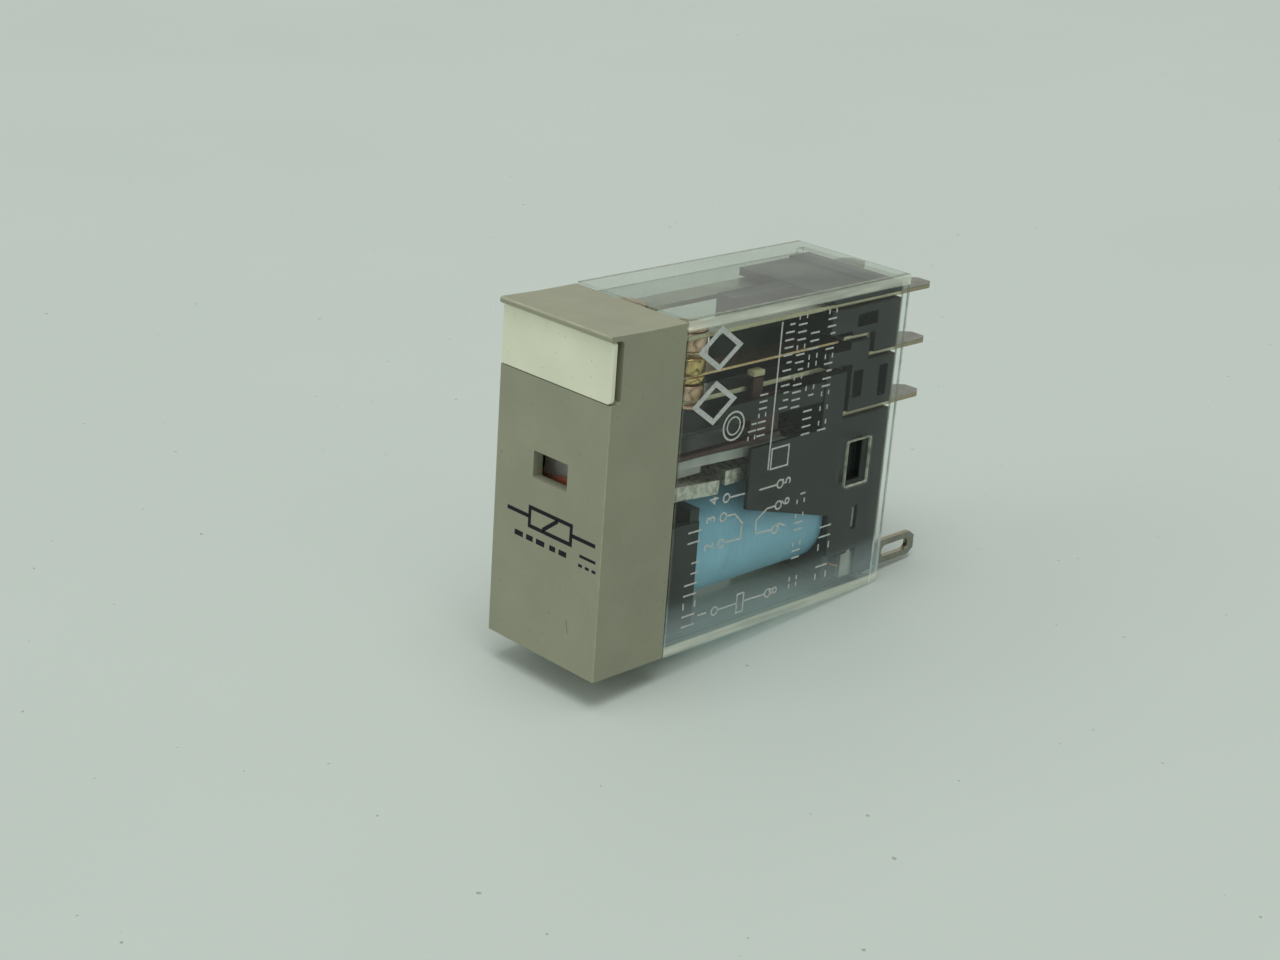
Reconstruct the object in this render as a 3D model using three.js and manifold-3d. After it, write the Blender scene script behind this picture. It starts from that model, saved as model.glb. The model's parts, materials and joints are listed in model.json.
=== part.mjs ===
// Two-pole changeover plug-in power relay with a mechanical indicator.
// Millimetres, +Z up. The relay lies on its narrow side: the cap faces -Y, the pins point along +Y.
// Piece dimensions are written in "relay" coordinates: X = 0 on the centre plane, Y = 0 at the
// cap's front face, Z = 0 at the underside. One group then moves the whole relay so that the
// origin is under the middle of its bounding box.

import * as THREE from 'three';
import { mergeVertices } from 'three/addons/utils/BufferGeometryUtils.js';
import Module from 'manifold-3d';

const wasm = await Module();
wasm.setup();

// Case
const HALF_WIDTH = 6.4;
const HEIGHT = 28.8;
const LENGTH = 35.0;
const CAP_DEPTH = 7.8;
const CAP_WALL = 0.9;
const CAP_FRONT = 1.0;
const LIP_OUT = 0.4;
const PLATE_LOW = 23.2;
const PLATE_HIGH = 28.3;
const PLATE_BED = 1.0;
const WINDOW = { x0: -1.9, x1: 2.1, z0: 14.9, z1: 17.2 };
const COVER_START = 7.9;
const COVER_WALL = 0.8;
const NOSE_HALF = 5.4;
const NOSE_LOW = 1.0;
const NOSE_HIGH = 27.8;
const NOSE_FRONT = 2.3;
const NOSE_TOE = 1.2;
const NOSE_STEP = 22.1;
const NOSE_WALL = 0.6;
const CORNER_CHAMFER = 0.7;
const LATCH = { y0: 29.0, y1: 32.1, z0: 10.3, z1: 14.6 };

// Base
const BASE_BACK = 35.2;
const BASE_HALF = 5.5;
const BASE_LOW = 0.9;
const BASE_HIGH = 27.9;
const BACK_PLATE = 32.6;
const BLOCK_FRONT = 26.2;
const BLOCK_LOW = 15.9;
const BLOCK_HIGH = 27.7;
const CHEEK_INNER = 5.1;
const CHANNEL_GAP = 0.08;

// Pins and contact strips
const POLE_X = 3.75;
const STRIP_WIDTH = 2.6;
const STRIP_THICK = 0.4;
const STRIP_FRONT = 8.35;
const PIN_TIP = 40.3;
const PIN_Z = { no: 26.7, com: 21.7, nc: 16.7 };
const COM_UPPER_Z = 23.6;
const COM_FRONT = 28.5;
const COM_BEND = 31.8;
const NC_UPPER_Z = 21.05;
const NC_BEND = 29.15;
const NC_STRIP_X = { inner: 2.1, outer: 4.45 };
const COIL_PIN = { inner: 4.75, outer: 5.25, z0: 0.98, z1: 3.23, front: 31.0, tip: 41.4 };

// Contacts
const CONTACT_Y = 11.1;
const CONTACT_RADIUS = 1.5;
const STEM_RADIUS = 0.4;
const STEM_HOLE = 0.7;
const SEAT = 0.02;
const SPRING_Z = 23.2;
const SPRING_THICK = 0.2;
const SPRING_PIVOT_Y = 28.0;

// Magnet system
const COIL_Z = 6.9;
const WINDING_RADIUS = 4.9;
const HINGE_Y = 15.4;
const HINGE_Z = 13.0;
const ARMATURE_OPEN = 4.5;
const POLE_FACE = 9.95;

const MID_Y = (COIL_PIN.tip - LIP_OUT) / 2;

// ---- geometry helpers -------------------------------------------------------------------

function box(x0, x1, y0, y1, z0, z1) {
  const shape = new THREE.BoxGeometry(x1 - x0, y1 - y0, z1 - z0);
  return shape.translate((x0 + x1) / 2, (y0 + y1) / 2, (z0 + z1) / 2);
}

// The two mirror-image boxes that lie between |x| = inner and |x| = outer.
function boxPair(inner, outer, y0, y1, z0, z1) {
  return [box(inner, outer, y0, y1, z0, z1), box(-outer, -inner, y0, y1, z0, z1)];
}

// A box on one side only: side is +1 for the right pole and -1 for the left one.
function sideBox(side, inner, outer, y0, y1, z0, z1) {
  return side > 0 ? box(inner, outer, y0, y1, z0, z1) : box(-outer, -inner, y0, y1, z0, z1);
}

// An outline in the (Y, Z) plane, given as [y, z] points, extruded from x0 to x1.
function sideProfile(points, x0, x1) {
  const shape = new THREE.Shape(points.map(([y, z]) => new THREE.Vector2(y, z)));
  return extrudeAlongX(shape, x0, x1);
}

function extrudeAlongX(shape, x0, x1) {
  const solid = new THREE.ExtrudeGeometry(shape, { depth: x1 - x0, bevelEnabled: false, curveSegments: 8 });
  const turn = new THREE.Matrix4().makeBasis(
    new THREE.Vector3(0, 1, 0), new THREE.Vector3(0, 0, 1), new THREE.Vector3(1, 0, 0));
  return solid.applyMatrix4(turn).translate(x0, 0, 0);
}

// A profile of [radius, height] points revolved about the Y direction.
function latheY(profile, segments = 32) {
  return new THREE.LatheGeometry(profile.map(([r, y]) => new THREE.Vector2(r, y)), segments);
}

function latheZ(profile, segments = 24) {
  return latheY(profile, segments).rotateX(Math.PI / 2);
}

function toSolid(geometry) {
  const bare = geometry.clone();
  bare.deleteAttribute('normal');
  bare.deleteAttribute('uv');
  const merged = mergeVertices(bare, 1e-4);
  return new wasm.Manifold(new wasm.Mesh({
    numProp: 3,
    vertProperties: new Float32Array(merged.attributes.position.array),
    triVerts: new Uint32Array(merged.index.array),
  }));
}

function fromSolid(solid) {
  const mesh = solid.getMesh();
  const geometry = new THREE.BufferGeometry();
  geometry.setAttribute('position', new THREE.BufferAttribute(new Float32Array(mesh.vertProperties), 3));
  geometry.setIndex(new THREE.BufferAttribute(new Uint32Array(mesh.triVerts), 1));
  geometry.computeVertexNormals();
  return geometry;
}

// Joins the first list of geometries, then cuts the second list out of the result.
function build(parts, cuts = []) {
  let solid = toSolid(parts[0]);
  for (const part of parts.slice(1)) {
    solid = solid.add(toSolid(part));
  }
  for (const tool of cuts) {
    solid = solid.subtract(toSolid(tool));
  }
  return fromSolid(solid);
}

// ---- materials --------------------------------------------------------------------------

const LOOKS = {
  capPlastic: { color: 0x8b8877, roughness: 0.75, metalness: 0 },
  platePlastic: { color: 0xe4e4d2, roughness: 0.5, metalness: 0 },
  clearPlastic: { color: 0xdfe6e2, roughness: 0.08, metalness: 0, transparent: true, opacity: 0.35 },
  blackPlastic: { color: 0x25292b, roughness: 0.45, metalness: 0 },
  redPlastic: { color: 0x5c1d18, roughness: 0.5, metalness: 0 },
  greyPlastic: { color: 0xa9aaa6, roughness: 0.45, metalness: 0 },
  creamPlastic: { color: 0xe6dcb4, roughness: 0.5, metalness: 0 },
  coilTape: { color: 0x7aa6b8, roughness: 0.55, metalness: 0 },
  platedSteel: { color: 0xb9b6aa, roughness: 0.35, metalness: 0.9 },
  pinPlating: { color: 0xb8b2a0, roughness: 0.35, metalness: 0.9 },
  springCopper: { color: 0xb07a4c, roughness: 0.35, metalness: 0.9 },
  contactMetal: { color: 0xb99a5b, roughness: 0.35, metalness: 0.9 },
  copperWire: { color: 0xa65f36, roughness: 0.4, metalness: 0.8 },
};

const relay = new THREE.Group();
relay.position.set(0, -MID_Y, 0);

function addPiece(parent, name, geometry, look) {
  const mesh = new THREE.Mesh(geometry, new THREE.MeshStandardMaterial(LOOKS[look]));
  mesh.name = name;
  parent.add(mesh);
}

// ---- case -------------------------------------------------------------------------------

// A sleeve closed at the front, with a finger lip above the marking plate's bed.
function capGeometry() {
  const outline = [
    [0, 0], [CAP_DEPTH, 0], [CAP_DEPTH, HEIGHT], [-LIP_OUT, HEIGHT], [-LIP_OUT, PLATE_HIGH + 0.15],
    [-LIP_OUT + 0.15, PLATE_HIGH], [PLATE_BED, PLATE_HIGH], [PLATE_BED, PLATE_LOW], [0, PLATE_LOW],
  ];
  const inner = HALF_WIDTH - CAP_WALL;
  const ledge = PLATE_LOW - 0.8;
  return build([sideProfile(outline, -HALF_WIDTH, HALF_WIDTH)], [
    box(-inner, inner, CAP_FRONT, CAP_DEPTH + 1, CAP_WALL, ledge),
    box(-inner, inner, PLATE_BED + 0.9, CAP_DEPTH + 1, ledge - 0.1, HEIGHT - CAP_WALL),
    box(WINDOW.x0, WINDOW.x1, -1, CAP_FRONT + 0.5, WINDOW.z0, WINDOW.z1),
  ]);
}

function markingPlateGeometry() {
  const half = HALF_WIDTH - 0.05;
  const low = PLATE_LOW + 0.06;
  const high = PLATE_HIGH - 0.06;
  const r = 0.45;
  const outline = new THREE.Shape();
  outline.moveTo(-half + r, low);
  outline.lineTo(half - r, low);
  outline.absarc(half - r, low + r, r, -Math.PI / 2, 0, false);
  outline.absarc(half - r, high - r, r, 0, Math.PI / 2, false);
  outline.absarc(-half + r, high - r, r, Math.PI / 2, Math.PI, false);
  outline.absarc(-half + r, low + r, r, Math.PI, Math.PI * 1.5, false);
  const plate = new THREE.ExtrudeGeometry(outline, { depth: 0.6, bevelEnabled: false, curveSegments: 5 });
  return plate.rotateX(Math.PI / 2).translate(0, 0.75, 0);
}

// A clear box, open at the back, with a narrower nose that the cap slides over. The nose steps
// back above the window, behind the marking plate's bed.
function coverGeometry() {
  const inner = HALF_WIDTH - COVER_WALL;
  const noseInner = NOSE_HALF - NOSE_WALL;
  const outline = [
    [COVER_START, 0], [LENGTH - CORNER_CHAMFER, 0], [LENGTH, CORNER_CHAMFER], [LENGTH, HEIGHT],
    [COVER_START, HEIGHT],
  ];
  return build([
    sideProfile(outline, -HALF_WIDTH, HALF_WIDTH),
    box(-NOSE_HALF, NOSE_HALF, NOSE_FRONT, COVER_START + 0.2, NOSE_LOW, NOSE_HIGH),
    box(-NOSE_HALF, NOSE_HALF, NOSE_TOE, NOSE_FRONT + 0.1, NOSE_LOW, NOSE_STEP),
  ], [
    box(-inner, inner, COVER_START + 0.4, LENGTH + 1, COVER_WALL, HEIGHT - COVER_WALL),
    box(-noseInner, noseInner, NOSE_FRONT + NOSE_WALL, COVER_START + 1,
      NOSE_LOW + NOSE_WALL, NOSE_HIGH - NOSE_WALL),
    box(-noseInner, noseInner, NOSE_TOE + NOSE_WALL, COVER_START + 1,
      NOSE_LOW + NOSE_WALL, NOSE_STEP - NOSE_WALL),
    box(-HALF_WIDTH - 1, HALF_WIDTH + 1, LATCH.y0, LATCH.y1, LATCH.z0, LATCH.z1),
  ]);
}

// The channels that hold one pole's three terminals and let its spring swing.
function terminalChannels(side) {
  const g = STRIP_THICK / 2 + CHANNEL_GAP;
  const channel = (y0, y1, z0, z1) => sideBox(side, 2.35, BASE_HALF + 1, y0, y1, z0, z1);
  const back = BASE_BACK + 1;
  const front = BLOCK_FRONT - 1;
  return [
    channel(front, back, PIN_Z.no - g, PIN_Z.no + g),
    channel(front, COM_FRONT + 0.5, SPRING_Z - 0.5, SPRING_Z + 1.1),
    channel(COM_FRONT - 0.3, COM_BEND + g, COM_UPPER_Z - g, COM_UPPER_Z + g),
    channel(COM_BEND - g, COM_BEND + g, PIN_Z.com - g, COM_UPPER_Z + g),
    channel(COM_BEND - g, back, PIN_Z.com - g, PIN_Z.com + g),
    sideBox(side, 1.95, BASE_HALF + 1, front, NC_BEND + g, NC_UPPER_Z - g, NC_UPPER_Z + g),
    channel(NC_BEND - g, NC_BEND + g, PIN_Z.nc - g, NC_UPPER_Z + g),
    channel(NC_BEND - g, back, PIN_Z.nc - g, PIN_Z.nc + g),
  ];
}

// Moulded base: back plate, terminal block, side cheeks beside the coil, blind pockets behind the
// cover's snap openings, and a post between the poles.
function baseGeometry() {
  const cheek = [
    [17.5, BLOCK_LOW + 0.1], [17.5, 10.6], [28.3, 7.6], [28.6, 3.6], [BACK_PLATE + 0.1, 3.6],
    [BACK_PLATE + 0.1, BLOCK_LOW + 0.1],
  ];
  const slotInner = COIL_PIN.inner - CHANNEL_GAP;
  const slotOuter = COIL_PIN.outer + CHANNEL_GAP;
  return build([
    box(-BASE_HALF, BASE_HALF, BACK_PLATE, BASE_BACK, BASE_LOW, BASE_HIGH),
    box(-BASE_HALF, BASE_HALF, BLOCK_FRONT, BACK_PLATE + 0.1, BLOCK_LOW, BLOCK_HIGH),
    sideProfile(cheek, CHEEK_INNER, BASE_HALF),
    sideProfile(cheek, -BASE_HALF, -CHEEK_INNER),
    ...boxPair(4.7, 5.2, 29.7, BACK_PLATE + 0.1, 9.9, 15.0),
    ...boxPair(4.7, 5.2, 28.9, 29.8, 12.0, 15.0),
    box(-1.0, 1.0, 18.7, BLOCK_FRONT + 0.1, 24.4, BLOCK_HIGH - 0.1),
  ], [
    ...terminalChannels(1),
    ...terminalChannels(-1),
    ...boxPair(4.85, BASE_HALF + 1, LATCH.y0 + 0.2, LATCH.y1 - 0.2, LATCH.z0 + 0.2, LATCH.z1 - 0.2),
    ...boxPair(slotInner, slotOuter, BACK_PLATE - 0.1, BASE_BACK + 1, 0, COIL_PIN.z1 + CHANNEL_GAP),
    ...boxPair(CHEEK_INNER - 0.5, slotOuter, 31.6, 32.3, 3.0, 7.8),
    ...boxPair(CHEEK_INNER - 0.5, BASE_HALF + 1, 31.6, 32.3, 5.6, 7.8),
    ...boxPair(4.3, BASE_HALF + 1, 33.2, 34.3, 17.8, 20.6),
    ...boxPair(4.3, BASE_HALF + 1, 29.8, 31.0, 18.2, 20.6),
    ...boxPair(4.3, BASE_HALF + 1, 29.6, 32.2, 24.6, 25.7),
  ]);
}

// Insulating shelf over the magnet with the upright wall between the poles.
function barrierGeometry() {
  const rimHeight = 20.3;
  return build([
    box(-BASE_HALF, BASE_HALF, 8.6, BLOCK_FRONT - 0.2, 18.6, 19.0),
    box(-0.4, 0.4, 17.6, BLOCK_FRONT - 0.2, 18.9, 24.3),
    ...boxPair(5.25, BASE_HALF, 13.0, BLOCK_FRONT - 0.2, 18.9, rimHeight),
  ], boxPair(4.5, 5.2, 17.0, 21.3, 18.0, 19.5));
}

// ---- magnet system ----------------------------------------------------------------------

function aroundCoil(geometry) {
  return geometry.translate(0, 0, COIL_Z);
}

function bobbinGeometry() {
  const tube = aroundCoil(latheY([[0, 11.0], [2.7, 11.0], [2.7, 29.6], [0, 29.6]]));
  const bore = aroundCoil(latheY([[0, 10.0], [2.1, 10.0], [2.1, 30.5], [0, 30.5]]));
  return build([
    tube,
    box(-5.2, 5.2, 11.05, 12.1, 1.3, 11.9),
    box(-5.0, 5.0, 28.7, 29.6, 1.3, 11.9),
    ...boxPair(4.6, 5.3, 8.5, 12.1, 1.3, 10.8),
  ], [bore]);
}

function windingGeometry() {
  const inner = 3.0;
  return aroundCoil(latheY([
    [inner, 12.15], [WINDING_RADIUS, 12.15], [WINDING_RADIUS, 28.65], [inner, 28.65], [inner, 12.15],
  ], 40));
}

function coreGeometry() {
  return aroundCoil(latheY([
    [0, POLE_FACE], [3.3, POLE_FACE], [3.3, POLE_FACE + 0.9], [1.8, POLE_FACE + 0.9], [1.8, 31.3], [0, 31.3],
  ]));
}

function yokeGeometry() {
  const leg = box(-4.3, 4.3, 29.8, 31.1, 3.6, 14.2);
  const hole = aroundCoil(latheY([[0, 29.0], [2.1, 29.0], [2.1, 32.0], [0, 32.0]]));
  return build([box(-4.6, 4.6, HINGE_Y + 0.15, 31.1, 12.9, 14.2), leg], [hole]);
}

// L-shaped armature drawn in its closed attitude, relative to the hinge line.
function armatureGeometry() {
  const outline = [
    [8.5, 13.4], [8.5, 3.4], [9.8, 3.4], [9.8, 12.1], [HINGE_Y - 0.15, 12.1], [HINGE_Y - 0.15, 13.4],
  ].map(([y, z]) => [y - HINGE_Y, z - HINGE_Z]);
  return sideProfile(outline, -4.3, 4.3);
}

// Grey lever on the armature: wide rear bar with a round tip, and the narrow indicator front.
function leverGeometry() {
  const low = 15.3;
  const high = 16.2;
  const tip = 23.4;
  const round = 0.45;
  const bar = new THREE.Shape();
  bar.moveTo(9.4, low);
  bar.lineTo(tip - round, 14.7);
  bar.absarc(tip - round, 14.7 + round, round, -Math.PI / 2, Math.PI / 2, false);
  bar.lineTo(9.4, high);
  bar.closePath();
  return build([
    extrudeAlongX(bar, -4.4, 4.4),
    box(-3.9, 3.9, 3.0, 3.6, 13.4, 17.5),
    box(-3.0, 3.0, 3.5, 9.6, 14.8, 17.5),
    ...boxPair(2.0, 3.2, 9.4, 14.0, 13.95, low + 0.1),
  ]);
}

// Leaf spring that lies on the yoke and presses on the armature's upper leg.
function returnSpringGeometry() {
  const t = 0.2;
  return sideProfile([
    [21.0, 14.25], [21.0, 14.25 + t], [15.4, 14.25 + t], [11.5, 13.9 + t], [11.2, 14.1 + t],
    [11.1, 14.1], [11.5, 13.9], [15.4, 14.25],
  ], -1.6, 1.6);
}

// Sliding card: indicator flag in front, rails over the lever, and two posts under the springs.
// The flag's top dips behind the window.
function cardGeometry() {
  const outline = new THREE.Shape([
    [-4.7, 11.5], [4.7, 11.5], [4.7, 15.5], [1.0, 15.5], [0.2, 14.9], [-3.2, 14.4], [-3.9, 15.5],
    [-4.7, 15.5],
  ].map(([x, z]) => new THREE.Vector2(x, z)));
  const flag = new THREE.ExtrudeGeometry(outline, { depth: 0.4, bevelEnabled: false });
  flag.rotateX(Math.PI / 2).translate(0, 2.5, 0);
  const railLow = 16.5;
  const railHigh = 16.95;
  return build([
    flag,
    ...boxPair(4.1, 4.7, 2.4, 8.5, 14.5, 15.5),
    ...boxPair(4.1, 5.4, 8.4, 8.9, 14.5, railHigh),
    ...boxPair(4.7, 5.4, 8.8, 21.0, railLow, railHigh),
    box(-5.4, 5.4, 20.0, 21.0, railLow, railHigh),
    ...boxPair(4.7, 5.05, 17.5, 21.0, railHigh - 0.1, 20.4),
    ...boxPair(4.7, 5.05, 17.5, 18.7, 20.3, 22.05),
  ]);
}

function pusherGeometry(side) {
  return sideBox(side, 4.2, 5.05, 17.5, 18.8, 22.1, 22.6);
}

// ---- contacts and terminals -------------------------------------------------------------

function stemHole(side, z) {
  const hole = latheZ([[0, -1], [STEM_HOLE, -1], [STEM_HOLE, 1], [0, 1]], 16);
  return hole.translate(side * (POLE_X - 0.3), CONTACT_Y, z);
}

// A contact rivet: a head on each side of a strip, joined by a thin stem through its hole.
function rivetGeometry(side, lowHead, highHead, stripLow, stripHigh) {
  const r = CONTACT_RADIUS;
  const a = stripLow - SEAT;
  const b = stripHigh + SEAT;
  const rivet = latheZ([
    [0, a - lowHead], [r - 0.15, a - lowHead], [r, a - lowHead + 0.15], [r, a], [STEM_RADIUS, a],
    [STEM_RADIUS, b], [r, b], [r, b + highHead - 0.15], [r - 0.15, b + highHead], [0, b + highHead],
  ]);
  return rivet.translate(side * (POLE_X - 0.3), CONTACT_Y, 0);
}

// A flat blade seen from above: a strip with a bevelled tip.
function blade(side, y0, y1, z) {
  const inner = POLE_X - STRIP_WIDTH / 2;
  const outer = POLE_X + STRIP_WIDTH / 2;
  const outline = new THREE.Shape([
    new THREE.Vector2(inner, y0), new THREE.Vector2(outer, y0), new THREE.Vector2(outer, y1 - 0.8),
    new THREE.Vector2(outer - 0.6, y1), new THREE.Vector2(inner + 0.6, y1),
    new THREE.Vector2(inner, y1 - 0.8),
  ]);
  const strip = new THREE.ExtrudeGeometry(outline, { depth: STRIP_THICK, bevelEnabled: false });
  strip.translate(side > 0 ? 0 : -2 * POLE_X, 0, z - STRIP_THICK / 2);
  return strip;
}

function noTerminalGeometry(side) {
  return build([blade(side, STRIP_FRONT, PIN_TIP, PIN_Z.no)], [stemHole(side, PIN_Z.no)]);
}

function comTerminalGeometry(side) {
  const t = STRIP_THICK / 2;
  const [inner, outer] = [POLE_X - STRIP_WIDTH / 2, POLE_X + STRIP_WIDTH / 2];
  return build([
    blade(side, COM_BEND - t, PIN_TIP, PIN_Z.com),
    sideBox(side, inner, outer, COM_BEND - t, COM_BEND + t, PIN_Z.com - t, COM_UPPER_Z + t),
    sideBox(side, inner, outer, COM_FRONT, COM_BEND + t, COM_UPPER_Z - t, COM_UPPER_Z + t),
  ]);
}

function ncTerminalGeometry(side) {
  const t = STRIP_THICK / 2;
  const { inner, outer } = NC_STRIP_X;
  return build([
    blade(side, NC_BEND - t, PIN_TIP, PIN_Z.nc),
    sideBox(side, POLE_X - 1.3, outer, NC_BEND - t, NC_BEND + t, PIN_Z.nc - t, NC_UPPER_Z + t),
    sideBox(side, inner, outer, STRIP_FRONT, NC_BEND + t, NC_UPPER_Z - t, NC_UPPER_Z + t),
  ], [stemHole(side, NC_UPPER_Z)]);
}

function contactSpringGeometry(side) {
  const strip = sideBox(side, 2.4, 4.7, STRIP_FRONT, SPRING_PIVOT_Y + 0.2,
    SPRING_Z, SPRING_Z + SPRING_THICK);
  return build([strip], [stemHole(side, SPRING_Z)]);
}

// Upright blade with an oblong eye, and a tag that stands up inside the base.
function coilTerminalGeometry(side) {
  const { inner, outer, z0, z1, front, tip } = COIL_PIN;
  const middle = (z0 + z1) / 2;
  const outline = new THREE.Shape([
    [front, z0], [tip - 0.7, z0], [tip, z0 + 0.5], [tip, z1 - 0.5], [tip - 0.7, z1], [32.2, z1],
    [32.2, 7.6], [31.7, 7.6], [31.7, z1], [front, z1],
  ].map(([y, z]) => new THREE.Vector2(y, z)));
  const eye = new THREE.Path();
  const r = 0.55;
  eye.absarc(37.3, middle, r, Math.PI / 2, Math.PI * 1.5, false);
  eye.absarc(40.0, middle, r, -Math.PI / 2, Math.PI / 2, false);
  outline.holes.push(eye);
  const [x0, x1] = side > 0 ? [inner, outer] : [-outer, -inner];
  return extrudeAlongX(outline, x0, x1);
}

// The winding's end wire, from the bobbin's rear flange to the coil terminal.
function coilLeadGeometry(side) {
  const path = new THREE.CatmullRomCurve3([
    new THREE.Vector3(side * 4.0, 29.66, 2.6), new THREE.Vector3(side * 4.2, 30.1, 2.5),
    new THREE.Vector3(side * 4.7, 30.5, 2.2), new THREE.Vector3(side * 5.0, 30.95, 2.1),
  ]);
  const section = new THREE.Shape();
  section.absarc(0, 0, 0.12, 0, Math.PI * 2, false);
  return new THREE.ExtrudeGeometry(section, {
    steps: 8, extrudePath: path, bevelEnabled: false, curveSegments: 4,
  });
}

// ---- assembly ---------------------------------------------------------------------------

addPiece(relay, 'cap', capGeometry(), 'capPlastic');
addPiece(relay, 'marking_plate', markingPlateGeometry(), 'platePlastic');
addPiece(relay, 'cover', coverGeometry(), 'clearPlastic');
addPiece(relay, 'base', baseGeometry(), 'blackPlastic');
addPiece(relay, 'barrier', barrierGeometry(), 'blackPlastic');
addPiece(relay, 'bobbin', bobbinGeometry(), 'blackPlastic');
addPiece(relay, 'coil_winding', windingGeometry(), 'coilTape');
addPiece(relay, 'core', coreGeometry(), 'platedSteel');
addPiece(relay, 'yoke', yokeGeometry(), 'platedSteel');
addPiece(relay, 'return_spring', returnSpringGeometry(), 'springCopper');
addPiece(relay, 'lever', leverGeometry(), 'greyPlastic');
addPiece(relay, 'card', cardGeometry(), 'redPlastic');

const hinge = new THREE.Group();
hinge.position.set(0, HINGE_Y, HINGE_Z);
hinge.rotation.x = THREE.MathUtils.degToRad(-ARMATURE_OPEN);
addPiece(hinge, 'armature', armatureGeometry(), 'platedSteel');
relay.add(hinge);

for (const [word, side] of [['right', 1], ['left', -1]]) {
  const t = STRIP_THICK / 2;
  addPiece(relay, `no_terminal_${word}`, noTerminalGeometry(side), 'pinPlating');
  addPiece(relay, `com_terminal_${word}`, comTerminalGeometry(side), 'pinPlating');
  addPiece(relay, `nc_terminal_${word}`, ncTerminalGeometry(side), 'pinPlating');
  addPiece(relay, `coil_terminal_${word}`, coilTerminalGeometry(side), 'pinPlating');
  addPiece(relay, `no_contact_${word}`,
    rivetGeometry(side, 1.25, 0.4, PIN_Z.no - t, PIN_Z.no + t), 'contactMetal');
  addPiece(relay, `nc_contact_${word}`,
    rivetGeometry(side, 0.4, 1.2, NC_UPPER_Z - t, NC_UPPER_Z + t), 'contactMetal');
  addPiece(relay, `moving_contact_${word}`,
    rivetGeometry(side, 0.6, 1.35, SPRING_Z, SPRING_Z + SPRING_THICK), 'contactMetal');
  addPiece(relay, `contact_spring_${word}`, contactSpringGeometry(side), 'springCopper');
  addPiece(relay, `pusher_${word}`, pusherGeometry(side), 'creamPlastic');
  addPiece(relay, `coil_lead_${word}`, coilLeadGeometry(side), 'copperWire');
}

const object = new THREE.Group();
object.add(relay);

export default object;
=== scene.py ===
"""Looks of the slim plug-in relay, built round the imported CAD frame. Blender 4.5, metres, +Z up."""

import json
import math
import random

import bmesh
import bpy
from mathutils import Matrix, Vector


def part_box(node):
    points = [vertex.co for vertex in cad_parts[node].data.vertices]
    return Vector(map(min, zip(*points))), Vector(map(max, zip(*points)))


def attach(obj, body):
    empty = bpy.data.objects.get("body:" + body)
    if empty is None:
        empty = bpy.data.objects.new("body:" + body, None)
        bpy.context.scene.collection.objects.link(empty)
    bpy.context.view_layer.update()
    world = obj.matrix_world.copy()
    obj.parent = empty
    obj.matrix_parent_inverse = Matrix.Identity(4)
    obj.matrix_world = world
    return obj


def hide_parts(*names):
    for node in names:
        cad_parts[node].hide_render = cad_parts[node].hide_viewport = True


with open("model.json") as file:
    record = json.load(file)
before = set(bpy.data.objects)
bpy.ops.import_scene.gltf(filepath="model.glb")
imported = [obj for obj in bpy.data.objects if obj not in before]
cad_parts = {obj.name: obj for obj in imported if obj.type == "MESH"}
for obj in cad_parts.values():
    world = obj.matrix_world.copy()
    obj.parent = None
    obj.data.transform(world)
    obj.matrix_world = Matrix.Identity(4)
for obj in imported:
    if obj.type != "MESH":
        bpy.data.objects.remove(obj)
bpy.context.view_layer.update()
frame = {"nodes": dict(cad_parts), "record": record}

MM = 0.001
NODES = frame["nodes"]
SCENE = bpy.context.scene

# Camera at the reference view's angle
CAMERA_AZIMUTH = 44.465
CAMERA_ELEVATION = 20.611
CAMERA_ROLL = 4.163
CAMERA_DISTANCE = 180.0
CAMERA_AIM_RIGHT = -7.2
CAMERA_AIM_UP = -3.8
CAMERA_LENS = 59.3

# Case details in millimetres. REBATE_Y is counted from the cap's front face.
LIP_OUT = 0.4
EDGE_BAND = 0.95
CAP_EDGE = 0.32
BED_DEPTH = 1.0
WALL = 0.8
REBATE_Y = 34.0
PRINT_LIFT = 0.012
PRINT_THICK = 0.012
BOLDER = 0.01

# How far the edges of painted bands fade, in millimetres
SOFT_FADE = 0.1
SHARP_FADE = 0.05

# How much of the mirror's share the clear plastic keeps, and the paper's slope in degrees
GLOSS_SHARE = 0.65
FLOOR_TILT = 4.3

# Colours
# pale colour of the painted highlights on the clear cover's edge bands and top
CLEAR_EDGE_HIGHLIGHT = (0.86, 0.90, 0.78)
PAPER = (0.575, 0.635, 0.60)
PAPER_DARK = (0.565, 0.625, 0.59)
PAPER_LIGHT = (0.585, 0.645, 0.61)
SKY = (0.95, 1.0, 0.94)
SKY_STRENGTH = 0.42


def low(node):
    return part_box(node)[0] / MM


def high(node):
    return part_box(node)[1] / MM


# The cap's front face behind the finger lip is Y = 0 of the relay's own coordinates.
FRONT_Y = low("cap").y + LIP_OUT
TOP = high("cap").z
HALF = high("cap").x


def relay_low(node):
    return low(node) - Vector((0, FRONT_Y, 0))


def relay_high(node):
    return high(node) - Vector((0, FRONT_Y, 0))


def place(x, y, z):
    """A point of the row frame, in metres, from relay coordinates in millimetres."""
    return Vector((x, y + FRONT_Y, z)) * MM


# ---- mesh helpers -------------------------------------------------------------------------


def new_object(name, verts, faces):
    mesh = bpy.data.meshes.new(name)
    mesh.from_pydata([tuple(v) for v in verts], [], faces)
    work = bmesh.new()
    work.from_mesh(mesh)
    bmesh.ops.recalc_face_normals(work, faces=work.faces)
    work.to_mesh(mesh)
    work.free()
    obj = bpy.data.objects.new(name, mesh)
    SCENE.collection.objects.link(obj)
    return obj


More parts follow.
